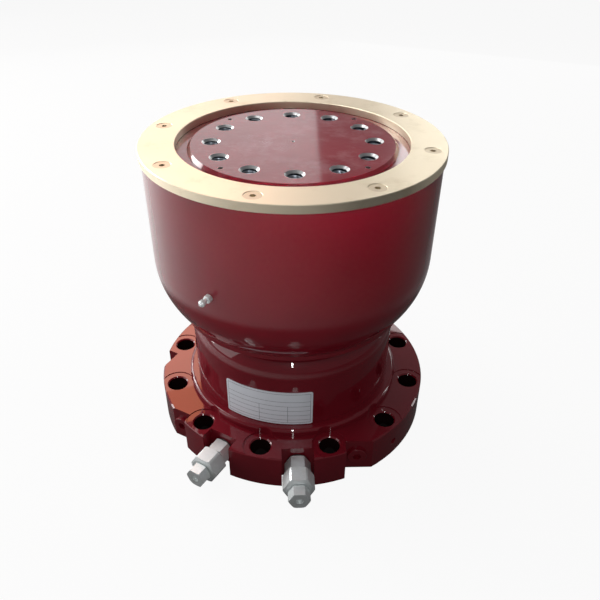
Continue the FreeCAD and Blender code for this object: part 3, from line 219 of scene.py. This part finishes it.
class ActuatorStage(bpy.types.PropertyGroup):
    """Camera, even light and floor around the actuator"""

    camera_place: bpy.props.FloatVectorProperty(
        name="Camera place",
        description="Where the camera stands",
        subtype="TRANSLATION",
        default=(-0.0118, -0.5893, 0.5411),
    )
    camera_aim: bpy.props.FloatVectorProperty(
        name="Camera aim",
        description="Direction in which the camera looks",
        subtype="DIRECTION",
        default=(0.02816, 0.8220, -0.5689),
    )
    camera_roll: bpy.props.FloatProperty(
        name="Camera roll",
        description="Tilt of the camera about its own axis",
        subtype="ANGLE",
        default=math.radians(0.58),
    )
    lens: bpy.props.FloatProperty(
        name="Focal length",
        description="Focal length in millimetres on a 36 mm wide sensor",
        default=37.19,
        min=10.0,
        max=300.0,
    )
    room_light: bpy.props.FloatProperty(
        name="Room light",
        description="Strength of the even light from all round",
        default=0.10,
        min=0.0,
        max=2.0,
    )
    floor_grey: bpy.props.FloatProperty(
        name="Floor grey",
        description="Brightness of the floor as the object sees it",
        default=0.52,
        min=0.0,
        max=1.0,
    )


def join(tree, value, socket):
    """Link a value to a socket, or write it there where it is a number or a colour."""
    if isinstance(value, Value):
        value = value.socket
    if isinstance(value, bpy.types.NodeSocket):
        tree.links.new(value, socket)
    else:
        socket.default_value = value


def add_node(tree, kind, settings=None, **sockets):
    """Add a node of any kind: its settings first, then the values or links of its sockets."""
    made = tree.nodes.new(kind)
    for name, value in (settings or {}).items():
        setattr(made, name, value)
    for name, value in sockets.items():
        join(tree, value, made.inputs[name.replace("_", " ")])
    return made


class Value:
    """A socket in a node tree that takes part in Python arithmetic."""

    def __init__(self, tree, socket):
        self.tree = tree
        self.socket = socket

    def _math(self, operation, *items):
        """Add a Math node that works on values and numbers."""
        node = add_node(self.tree, "ShaderNodeMath", {"operation": operation})
        for slot, item in zip(node.inputs, items):
            join(self.tree, item, slot)
        return Value(self.tree, node.outputs[0])

    def __add__(self, other):
        return self._math("ADD", self, other)

    __radd__ = __add__

    def __sub__(self, other):
        return self._math("SUBTRACT", self, other)

    def __rsub__(self, other):
        return self._math("SUBTRACT", other, self)

    def __mul__(self, other):
        return self._math("MULTIPLY", self, other)

    __rmul__ = __mul__

    def __lt__(self, other):
        return self._math("LESS_THAN", self, other)

    def __gt__(self, other):
        return self._math("GREATER_THAN", self, other)

    def minimum(self, other):
        return self._math("MINIMUM", self, other)

    def maximum(self, other):
        return self._math("MAXIMUM", self, other)

    def absolute(self):
        return self._math("ABSOLUTE", self)

    def root(self):
        return self._math("SQRT", self)

    def sine(self):
        return self._math("SINE", self)

    def angle_to(self, other):
        return self._math("ARCTAN2", self, other)

    def folded(self, span):
        """Distance to the nearest multiple of a span, from minus half a span to half a span."""
        return self._math("WRAP", self, span / 2, -span / 2)


class Finish:
    """A procedural material under construction."""

    def __init__(self, name, **shader):
        self.material = bpy.data.materials.new(name)
        self.material.use_nodes = True
        self.tree = self.material.node_tree
        self.tree.nodes.clear()
        self.shader = self.node("ShaderNodeBsdfPrincipled")
        self.output = self.node("ShaderNodeOutputMaterial", Surface=self.shader.outputs[0])
        self.set(**shader)
        self.place = self.node("ShaderNodeTexCoord").outputs["Object"]
        parts = self.node("ShaderNodeSeparateXYZ", Vector=self.place)
        self.x, self.y, self.z = (Value(self.tree, parts.outputs[axis]) for axis in "XYZ")

    def node(self, kind, settings=None, **sockets):
        """Add a node to the material."""
        return add_node(self.tree, kind, settings, **sockets)

    def set(self, **sockets):
        """Give the shader's sockets their values or links."""
        for name, value in sockets.items():
            join(self.tree, value, self.shader.inputs[name.replace("_", " ")])

    def radius(self):
        """Distance from the shaft's axis."""
        return (self.x * self.x + self.y * self.y).root()

    def angle(self):
        """Azimuth about the shaft's axis, in radians."""
        return self.y.angle_to(self.x)

    def in_holes(self, reach, step, hole_radius, phase=0.0):
        """One inside a circle of round holes about the shaft's axis, nought elsewhere."""
        across = self.radius() - reach
        around = (self.angle() - phase).folded(step) * reach
        return (across * across + around * around).root() < hole_radius

    def noise(self, scale, detail=3.0, roughness=0.5, stretch=(1.0, 1.0, 1.0)):
        """Grain of so many cycles a metre, stretched along the axes."""
        mapping = self.node("ShaderNodeMapping", Vector=self.place, Scale=stretch)
        texture = self.node(
            "ShaderNodeTexNoise",
            Vector=mapping.outputs[0],
            Scale=scale,
            Detail=detail,
            Roughness=roughness,
        )
        return Value(self.tree, texture.outputs["Fac"])

    def turning_marks(self, pitch):
        """Fine grooves round the shaft's axis, as a lathe leaves them, from 0 to 1."""
        wobble = self.noise(40.0) * (pitch * 2)
        return ((self.radius() + self.z + wobble) * (2 * math.pi / pitch)).sine() * 0.5 + 0.5

    def clamped(self, value, low, high):
        """Map a stretch of a value to 0 to 1."""
        node = self.node(
            "ShaderNodeMapRange", {"clamp": True}, Value=value, From_Min=low, From_Max=high
        )
        return Value(self.tree, node.outputs[0])

    def mix(self, factor, first, second):
        """Mix two colours. A Mix node has one set of sockets for each kind of value it can mix."""
        factor_slot, first_slot, second_slot, colour_out = 0, 6, 7, 2
        node = self.node("ShaderNodeMix", {"data_type": "RGBA"})
        join(self.tree, factor, node.inputs[factor_slot])
        for slot, value in ((first_slot, first), (second_slot, second)):
            if not isinstance(value, bpy.types.NodeSocket):
                value = (*value[:3], 1.0)
            join(self.tree, value, node.inputs[slot])
        return node.outputs[colour_out]

    def bump(self, height, strength, distance):
        """Raise the surface by a height, a value from 0 to 1, times a distance."""
        node = self.node("ShaderNodeBump", Height=height, Strength=strength, Distance=distance)
        self.set(Normal=node.outputs[0])

    def wear(self, *names):
        """Put the material on CAD nodes."""
        for name in names:
            slots = NODES[name].data.materials
            slots.clear()
            slots.append(self.material)


def scaled(tint, share):
    """A colour with each of its parts times a share, below one for darker."""
    return [part * share for part in tint]


def gloss_paint(name, settings, coat_roughness, waviness):
    """Thick gloss paint over a casting, thinner in patches and faintly wavy."""
    finish = Finish(
        name,
        Metallic=0.0,
        Coat_Weight=1.0,
        Coat_Roughness=coat_roughness,
        Roughness=0.38,
        Specular_IOR_Level=0.05,
    )
    patches = finish.clamped(finish.noise(9.0, detail=4.0), 0.35, 0.7)
    tone = finish.mix(patches, settings.paint, settings.paint_light)
    flow = finish.noise(55.0, detail=2.0)
    orange_peel = finish.noise(420.0, detail=2.0)
    finish.bump(flow * 0.8 + orange_peel * 0.2, waviness, 0.6 * MM)
    return finish, tone


def cut_metal(name, tint, roughness=0.30):
    """Bare metal with fine lathe marks."""
    finish = Finish(name, Metallic=1.0)
    marks = finish.turning_marks(0.35 * MM)
    cloud = finish.noise(60.0)
    shade = finish.mix(cloud * 0.5, tint, scaled(tint, 0.72))
    finish.set(Base_Color=shade, Roughness=marks * 0.06 + cloud * 0.12 + (roughness - 0.08))
    finish.bump(marks, 0.05, 0.03 * MM)
    return finish


class ACTUATOR_OT_paint(bpy.types.Operator):
    """Paint the housing and the output disc, and leave the disc's holes and its shaft bare"""

    bl_idname = "actuator.paint"
    bl_label = "Paint housing and output"

    def execute(self, context):
        settings = finish_settings()
        finish, tone = gloss_paint(
            "gloss_paint_housing", settings, coat_roughness=0.03, waviness=0.12
        )
        # Inside the foot's bolt holes the paint turns near black: painted shade.
        finish.set(Base_Color=finish.mix(self.foot_hole_shade(finish), tone, PAINT_IN_SHADE))
        finish.wear("housing", "gallery_plugs", "foot_lock_screw")
        finish, tone = gloss_paint(
            "gloss_paint_output", settings, coat_roughness=0.08, waviness=0.80
        )
        bare = self.bare_mask(finish)
        # Below the chamfer the holes' bare steel darkens to a painted shade.
        chamfer_deep, chamfer_high = OUTPUT_TOP - 2.4 * MM, OUTPUT_TOP - 2.0 * MM
        depth = finish.clamped(finish.z, chamfer_deep, chamfer_high)
        steel = finish.mix(depth, STEEL_PAINTED_SHADE, settings.steel)
        scuff = self.scuffs(finish)
        face = finish.mix(scuff, tone, settings.dust)
        finish.set(
            Base_Color=finish.mix(bare, face, steel),
            Metallic=bare,
            Coat_Weight=(1.0 - bare) * (1.0 - scuff),
            Roughness=bare * -0.06 + 0.34,
        )
        finish.wear("output_shaft")
        return {"FINISHED"}

    def foot_hole_shade(self, finish):
        """One inside the bolt holes of the foot, where the paint is darkened to a painted shade.
        """
        hole_radius, above_foot = 11.2 * MM, 39.0 * MM
        inside = finish.in_holes(FOOT_BOLT_REACH, BOLT_STEP, hole_radius, FOOT_BOLT_PHASE)
        return inside * (finish.z < above_foot)

    def scuffs(self, finish):
        """How far the face is rubbed dull: swirls left of the middle, and a thin film of dust."""
        middle, pitch, wander = -24.0 * MM, 3.1 * MM, 14.0 * MM
        inner, outer, ragged = 18.0 * MM, 48.0 * MM, 30.0 * MM
        across = finish.x - middle
        distance = (across * across + finish.y * finish.y * 0.8).root()
        ring = (distance + finish.noise(38.0) * wander) * (2 * math.pi / pitch)
        swirl = ring.sine() * 0.5 + 0.5
        swirl = swirl * finish.clamped(finish.noise(85.0, detail=4.0), 0.42, 0.66)
        patch = 1.0 - finish.clamped(distance + finish.noise(45.0) * ragged, inner, outer)
        film = finish.clamped(finish.noise(24.0, detail=6.0, roughness=0.65), 0.50, 0.78)
        return (swirl * patch * 0.34 + film * 0.20).minimum(0.6)

    def bare_mask(self, finish):
        """One inside the output disc's holes and below the disc, nought on its painted face."""
        bolt_radius, dowel_radius, centre_radius = 9.35 * MM, 2.5 * MM, 1.9 * MM
        paint_end = RIM_TOP - 1.6 * MM
        bolts = finish.in_holes(OUTPUT_BOLT_REACH, BOLT_STEP, bolt_radius)
        dowels = finish.in_holes(DOWEL_REACH, DOWEL_STEP, dowel_radius, DOWEL_PHASE)
        centre = finish.radius() < centre_radius
        return bolts.maximum(dowels).maximum(centre).maximum(finish.z < paint_end)


class ACTUATOR_OT_threads(bpy.types.Operator):
    """Cut the screw threads in the output disc's bolt holes"""

    bl_idname = "actuator.threads"
    bl_label = "Cut output threads"

    def execute(self, context):
        settings = finish_settings()
        pitch, outside = settings.thread_pitch, settings.thread_radius
        mesh = bmesh.new()
        section = [
            mesh.verts.new((outside, 0.0, THREAD_START - pitch * THREAD_HALF_WIDTH)),
            mesh.verts.new((outside - pitch * THREAD_DEPTH, 0.0, THREAD_START)),
            mesh.verts.new((outside, 0.0, THREAD_START + pitch * THREAD_HALF_WIDTH)),
        ]
        face = mesh.faces.new(section)
        bmesh.ops.spin(
            mesh,
            geom=[face, *face.edges, *section],
            cent=(0.0, 0.0, 0.0),
            axis=(0.0, 0.0, 1.0),
            dvec=(0.0, 0.0, pitch / THREAD_STEPS),
            angle=math.radians(360.0) * THREAD_TURNS,
            steps=THREAD_STEPS * THREAD_TURNS,
        )
        weld = 0.005 * MM
        bmesh.ops.remove_doubles(mesh, verts=mesh.verts[:], dist=weld)
        bmesh.ops.recalc_face_normals(mesh, faces=mesh.faces[:])
        bmesh.ops.translate(mesh, verts=mesh.verts[:], vec=(OUTPUT_BOLT_REACH, 0.0, 0.0))
        thread = mesh.verts[:] + mesh.edges[:] + mesh.faces[:]
        for hole in range(1, BOLT_COUNT):
            copy = bmesh.ops.duplicate(mesh, geom=thread)["geom"]
            verts = [item for item in copy if isinstance(item, bmesh.types.BMVert)]
            turn = Matrix.Rotation(BOLT_STEP * hole, 3, "Z")
            bmesh.ops.rotate(mesh, verts=verts, cent=(0.0, 0.0, 0.0), matrix=turn)
        data = bpy.data.meshes.new("output_threads")
        mesh.to_mesh(data)
        mesh.free()
        threads = bpy.data.objects.new("output_threads", data)
        context.scene.collection.objects.link(threads)
        data.materials.append(cut_metal("cut_thread", STEEL_THREAD, roughness=0.34).material)
        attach(threads, "output")
        return {"FINISHED"}


class ACTUATOR_OT_brass(bpy.types.Operator):
    """Finish the wear ring and the inner bearings in satin brass"""

    bl_idname = "actuator.brass"
    bl_label = "Finish brass"

    def execute(self, context):
        tint = finish_settings().brass
        finish = Finish("satin_brass", Metallic=1.0)
        marks = finish.turning_marks(0.4 * MM)
        cloud = finish.noise(14.0, detail=5.0)
        stain = finish.clamped(finish.noise(30.0, detail=6.0, roughness=0.65), 0.56, 0.75)
        shade = finish.mix(cloud, tint, scaled(tint, 0.86))
        shade = finish.mix(stain * 0.35, shade, BRASS_STAIN)
        finish.set(Base_Color=shade, Roughness=cloud * 0.10 + marks * 0.10 + 0.33)
        finish.bump(marks, 0.12, 0.03 * MM)
        finish.wear(
            "wear_ring", "upper_thrust_washer", "upper_bush", "lower_bush", "lower_thrust_washer"
        )
        return {"FINISHED"}


class ACTUATOR_OT_steel(bpy.types.Operator):
    """Finish the machined steel pieces, the ring's dull screws and the black screws"""

    bl_idname = "actuator.steel"
    bl_label = "Finish steel"

    def execute(self, context):
        tint = finish_settings().steel
        machined = cut_metal("machined_steel", tint)
        machined.wear("end_cover", "shaft_nut", "ring_gear_pins", "ring_gear_lock_ring")
        bronze = cut_metal("dull_bronze", finish_settings().bronze, roughness=0.46)
        bronze.wear("wear_ring_screws")
        hardened = cut_metal("hardened_steel", scaled(tint, 0.8), roughness=0.36)
        hardened.wear("ring_gear", "piston_sleeve")
        oxide = Finish("black_oxide", Metallic=0.8)
        cloud = oxide.noise(120.0, detail=4.0)
        oxide.set(
            Base_Color=oxide.mix(cloud, OXIDE_DARK, OXIDE_PALE),
            Roughness=cloud * 0.2 + 0.35,
        )
        oxide.bump(cloud, 0.1, 0.1 * MM)
        oxide.wear("end_cover_screws", "shaft_nut_lock_screw")
        return {"FINISHED"}


class ACTUATOR_OT_zinc(bpy.types.Operator):
    """Plate the port fittings and the grease nipple with zinc"""

    bl_idname = "actuator.zinc"
    bl_label = "Plate fittings"

    def execute(self, context):
        tint = finish_settings().zinc
        finish = Finish("zinc_plate", Metallic=0.5)
        cloud = finish.noise(180.0, detail=5.0, roughness=0.6)
        bloom = finish.clamped(finish.noise(70.0, detail=3.0), 0.45, 0.7)
        shade = finish.mix(cloud, tint, scaled(tint, 0.78))
        shade = finish.mix(bloom * 0.2, shade, ZINC_BLOOM)
        finish.set(Base_Color=shade, Roughness=cloud * 0.16 + 0.34)
        finish.bump(cloud, 0.08, 0.1 * MM)
        finish.wear("port_a_adapter", "port_a_nut", "port_a_cap")
        finish.wear("port_b_adapter", "port_b_nut", "port_b_cap")
        finish.wear("grease_nipple")
        return {"FINISHED"}


class ACTUATOR_OT_soft(bpy.types.Operator):
    """Finish the seals in rubber and the guide band in filled plastic"""

    bl_idname = "actuator.soft"
    bl_label = "Finish seals"

    def execute(self, context):
        rubber = Finish("seal_rubber", Metallic=0.0)
        cloud = rubber.noise(260.0, detail=4.0)
        rubber.set(
            Base_Color=rubber.mix(cloud, RUBBER_DARK, RUBBER_PALE),
            Roughness=cloud * 0.2 + 0.5,
        )
        rubber.bump(cloud, 0.15, 0.1 * MM)
        rubber.wear("piston_outer_seal", "piston_inner_seal", "upper_shaft_seal")
        rubber.wear("lower_shaft_seal", "end_cover_oring", "port_seals")
        band = Finish("guide_band_plastic", Metallic=0.0)
        weave = band.noise(500.0, detail=3.0)
        band.set(
            Base_Color=band.mix(weave, BAND_DARK, BAND_PALE),
            Roughness=weave * 0.2 + 0.5,
        )
        band.bump(weave, 0.2, 0.05 * MM)
        band.wear("piston_guide_band")
        return {"FINISHED"}


class ACTUATOR_OT_nameplate(bpy.types.Operator):
    """Finish the bare nameplate in brushed aluminium"""

    bl_idname = "actuator.nameplate"
    bl_label = "Finish nameplate"

    def execute(self, context):
        settings = finish_settings()
        tint = settings.plate
        finish = Finish("brushed_aluminium", Metallic=0.1)
        brushing = finish.noise(900.0, detail=2.0, stretch=(0.05, 0.05, 1.0))
        cloud = finish.noise(35.0, detail=3.0)
        shade = finish.mix(cloud * 0.6, tint, scaled(tint, 0.86))
        finish.set(
            Base_Color=finish.mix(self.ruled_lines(finish) * 0.7, shade, settings.ink),
            Roughness=brushing * 0.15 + 0.34,
        )
        finish.bump(brushing, 0.05, 0.02 * MM)
        finish.wear("nameplate")
        return {"FINISHED"}

    def ruled_lines(self, finish):
        """One on a border and a plain table of ruled lines, nought elsewhere."""
        low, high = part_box("nameplate")
        middle, half_height = (low.z + high.z) / 2, (high.z - low.z) / 2
        line, margin = 0.28 * MM, 2.4 * MM
        row_place, row_step, rows_end = 3.0 * MM, 6.4 * MM, 10.0 * MM
        left_column, right_column, columns_end = -9.0 * MM, 22.0 * MM, 3.3 * MM
        across = (finish.angle() - PLATE_AZIMUTH) * PLATE_BEND
        up = finish.z - middle
        inside_x = PLATE_HALF_WIDTH - margin - across.absolute()
        inside_z = half_height - margin - up.absolute()
        inside = inside_x.minimum(inside_z)
        border = inside.absolute() < line
        rows = (up - row_place).folded(row_step).absolute() < line
        rows = rows * (up < rows_end)
        left = (across - left_column).absolute() < line
        right = (across - right_column).absolute() < line
        columns = left.maximum(right) * (up < columns_end)
        return border.maximum(rows.maximum(columns) * (inside > 0.0))


class ACTUATOR_OT_stage(bpy.types.Operator):
    """Set the floor, the lamps, the world and the camera"""

    bl_idname = "actuator.stage"
    bl_label = "Set the stage"

    def execute(self, context):
        settings = stage_settings()
        context.scene.view_settings.view_transform = "Standard"
        self.floor(context, settings)
        self.world(context, settings)
        self.lamps(context)
        self.camera(context, settings)
        return {"FINISHED"}

    def shown_white(self, tree, shader, white_kind, share, mirrored):
        """Mix plain white into what the camera and the gloss see, and not into what lights."""
        rays = add_node(tree, "ShaderNodeLightPath").outputs
        white = add_node(tree, white_kind, Color=WHITE, Strength=1.0)
        camera, gloss, clear = (
            Value(tree, rays[f"Is {kind} Ray"]) for kind in ("Camera", "Glossy", "Transmission")
        )
        mix = add_node(tree, "ShaderNodeMixShader")
        seen = camera * share + gloss.maximum(clear) * mirrored
        for value, slot in zip((seen, shader, white.outputs[0]), mix.inputs):
            join(tree, value, slot)
        return mix.outputs[0]

    def floor(self, context, settings):
        """White to the camera; what the object mirrors has painted light at the left, painted
        shade at the right and a painted shadow under and round the object.
        """
        mesh = bpy.data.meshes.new("floor")
        shape = bmesh.new()
        half_width = 3.0
        bmesh.ops.create_grid(shape, x_segments=1, y_segments=1, size=half_width)
        shape.to_mesh(mesh)
        shape.free()
        floor = bpy.data.objects.new("floor", mesh)
        context.scene.collection.objects.link(floor)
        finish = Finish("pale_floor", Roughness=0.7)
        left_edge, right_edge, shadow_edge, shadow_end = -0.45, 0.52, 0.29, 0.36
        grey = (settings.floor_grey,) * 3
        # Painted light at the left fading to painted shade at the right, for all rays but the
        # camera's.
        painted_shade_rightward = finish.clamped(finish.x + finish.noise(3.0) * 0.1, left_edge, right_edge)
        tone = finish.mix(painted_shade_rightward, scaled(grey, 1.5), scaled(grey, 0.12))
        # A dark painted shadow on the floor under and round the object, for all rays but the
        # camera's.
        outside_painted_shadow = finish.clamped(finish.radius(), shadow_edge, shadow_end)
        tone = finish.mix(outside_painted_shadow, FLOOR_PAINTED_SHADOW, tone)
        plain = finish.mix(finish.noise(6.0), grey, scaled(grey, 1.03))
        seen = finish.node("ShaderNodeLightPath").outputs["Is Camera Ray"]
        finish.set(Base_Color=finish.mix(seen, tone, plain))
        shown = self.shown_white(
            finish.tree, finish.shader.outputs[0], "ShaderNodeEmission", share=0.93, mirrored=0.03
        )
        join(finish.tree, shown, finish.output.inputs[0])
        mesh.materials.append(finish.material)

    def world(self, context, settings):
        """Even light from all round, under a white backdrop that only the camera sees in full."""
        world = bpy.data.worlds.new("studio")
        context.scene.world = world
        world.use_nodes = True
        tree = world.node_tree
        tree.nodes.clear()
        sky = add_node(tree, "ShaderNodeBackground", Color=SKY, Strength=settings.room_light)
        shown = self.shown_white(
            tree, sky.outputs[0], "ShaderNodeBackground", share=1.0, mirrored=0.08
        )
        add_node(tree, "ShaderNodeOutputWorld", Surface=shown)

    def lamps(self, context):
        """Area lamps that stand for a room's windows, which the gloss paint mirrors."""
        for name, place, aim_height, size, power in LAMPS:
            light = bpy.data.lights.new(name, "AREA")
            light.spread = NARROW_SPREAD if name == NARROW_LAMP else FULL_SPREAD
            light.color = WARM_LIGHT if name == WARM_LAMP else DAYLIGHT
            light.shape = "RECTANGLE"
            light.size, light.size_y = size
            light.energy = power
            lamp = bpy.data.objects.new(name, light)
            lamp.location = place
            lamp.visible_camera = False
            lamp.visible_glossy = name != NARROW_LAMP
            ahead = Vector((0.0, 0.0, aim_height)) - Vector(place)
            lamp.rotation_euler = ahead.to_track_quat("-Z", "Y").to_euler()
            context.scene.collection.objects.link(lamp)

    def camera(self, context, settings):
        """A level camera at the photograph's place, then rolled a little."""
        lens = bpy.data.cameras.new("camera")
        lens.sensor_width = 36.0
        lens.lens = settings.lens
        lens.clip_start = 0.01
        camera = bpy.data.objects.new("camera", lens)
        ahead = Vector(settings.camera_aim).normalized()
        right = ahead.cross(Vector((0.0, 0.0, 1.0))).normalized()
        up = right.cross(ahead)
        level = Matrix((right, up, -ahead)).transposed()
        camera.matrix_world = (
            Matrix.Translation(settings.camera_place)
            @ level.to_4x4()
            @ Matrix.Rotation(settings.camera_roll, 4, "Z")
        )
        context.scene.collection.objects.link(camera)
        context.scene.camera = camera


class ACTUATOR_PT_panel(bpy.types.Panel):
    """Lists the operators and the values that they use"""

    bl_idname = "ACTUATOR_PT_panel"
    bl_label = "Actuator"
    bl_space_type = "VIEW_3D"
    bl_region_type = "UI"
    bl_category = "Actuator"

    def draw(self, context):
        layout = self.layout
        for settings in (context.scene.actuator_finish, context.scene.actuator_stage):
            for name in settings.__annotations__:
                layout.prop(settings, name)
        for operator in OPERATORS:
            layout.operator(operator.bl_idname)


OPERATORS = (
    ACTUATOR_OT_paint,
    ACTUATOR_OT_threads,
    ACTUATOR_OT_brass,
    ACTUATOR_OT_steel,
    ACTUATOR_OT_zinc,
    ACTUATOR_OT_soft,
    ACTUATOR_OT_nameplate,
    ACTUATOR_OT_stage,
)
CLASSES = (ActuatorFinish, ActuatorStage, *OPERATORS, ACTUATOR_PT_panel)


def register():
    """Add the classes and the panel's values."""
    for cls in CLASSES:
        bpy.utils.register_class(cls)
    bpy.types.Scene.actuator_finish = bpy.props.PointerProperty(type=ActuatorFinish)
    bpy.types.Scene.actuator_stage = bpy.props.PointerProperty(type=ActuatorStage)


def unregister():
    """Take away what register adds."""
    del bpy.types.Scene.actuator_stage
    del bpy.types.Scene.actuator_finish
    for cls in reversed(CLASSES):
        bpy.utils.unregister_class(cls)


def main():
    """Register the add-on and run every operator."""
    register()
    for operator in OPERATORS:
        group, name = operator.bl_idname.split(".")
        getattr(getattr(bpy.ops, group), name)()


if __name__ == "__main__":
    main()
